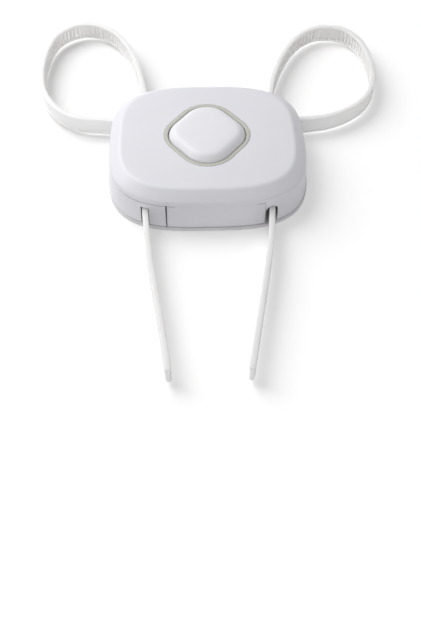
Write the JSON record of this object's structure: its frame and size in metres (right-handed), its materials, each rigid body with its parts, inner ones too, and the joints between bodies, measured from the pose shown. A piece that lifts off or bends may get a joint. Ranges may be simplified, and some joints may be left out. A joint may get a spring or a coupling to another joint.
{
  "type": "cabinet safety lock",
  "caption": "Two-piece cabinet door lock with a strap loop for each door knob, a decoy centre button and hidden squeeze panels that free the latch.",
  "frame": {"origin": "centre of the body's outline on the back face, where the lock lies on a table", "axes": "+X to the right across the two halves, +Y towards the loops, +Z out of the face with the button"},
  "size_m": [0.1455, 0.1909, 0.0189],
  "materials": {
    "cover_white": "satin moulded ABS, cool white",
    "plate_white": "matt moulded ABS, cool white",
    "frame_white": "plain moulded ABS inside the housing",
    "ring_grey": "matt grey-green ABS trim",
    "button_white": "satin moulded ABS, brighter white",
    "strap_white": "flexible polypropylene, warm white",
    "clip_acetal": "natural acetal",
    "pawl_acetal": "acetal",
    "spring_steel": "bright drawn spring wire and strip",
    "screw_steel": "zinc plated self-tapping screws"
  },
  "bodies": {
    "housing": {"front_cover": "cover_white", "rear_cover": "plate_white", "inner_frame": "frame_white", "button_ring": "ring_grey", "button_spring": "spring_steel", "release_spring_top": "spring_steel", "release_spring_bottom": "spring_steel", "housing_screws": "screw_steel", "strap_right": "strap_white", "pawl_pin_right": "spring_steel", "pawl_spring_right": "spring_steel"},
    "button": {"decoy_button": "button_white"},
    "panel_top": {"release_panel_top": "cover_white"},
    "panel_bottom": {"release_panel_bottom": "cover_white"},
    "latch": {"latch_body": "cover_white", "latch_cover": "plate_white", "latch_clip": "clip_acetal", "latch_screws": "screw_steel", "strap_left": "strap_white", "pawl_pin_left": "spring_steel", "pawl_spring_left": "spring_steel"},
    "pawl_l": {"pawl_left": "pawl_acetal"},
    "pawl_r": {"pawl_right": "pawl_acetal"}
  },
  "joints": [
    {"name": "button_press", "type": "slide", "parent": "housing", "child": "button", "axis": [0, 0, -1], "range_m": [0, 0.0022], "stiffness_N_per_m": 700, "springref_m": -0.001, "deforming": ["button_spring"]},
    {"name": "release_top", "type": "slide", "parent": "housing", "child": "panel_top", "axis": [0, -1, 0], "range_m": [0, 0.0017], "stiffness_N_per_m": 900, "springref_m": -0.001, "deforming": ["release_spring_top", "latch_clip"]},
    {"name": "release_bottom", "type": "slide", "parent": "housing", "child": "panel_bottom", "axis": [0, 1, 0], "range_m": [0, 0.0017], "stiffness_N_per_m": 900, "springref_m": -0.001, "deforming": ["release_spring_bottom", "latch_clip"]},
    {"name": "latch_pull", "type": "slide", "parent": "housing", "child": "latch", "axis": [-1, 0, 0], "range_m": [0, 0.06], "deforming": ["latch_clip"]},
    {"name": "pawl_left_release", "type": "hinge", "parent": "latch", "child": "pawl_l", "pos_m": [-0.028, 0.0021, 0], "axis": [0, 0, -1], "range_deg": [0, 12], "stiffness_Nm_per_rad": 0.05, "springref_deg": -5.73, "deforming": ["pawl_spring_left"]},
    {"name": "pawl_right_release", "type": "hinge", "parent": "housing", "child": "pawl_r", "pos_m": [0.0276, 0.0021, 0], "axis": [0, 0, 1], "range_deg": [0, 12], "stiffness_Nm_per_rad": 0.05, "springref_deg": -5.73, "deforming": ["pawl_spring_right"]}
  ]
}
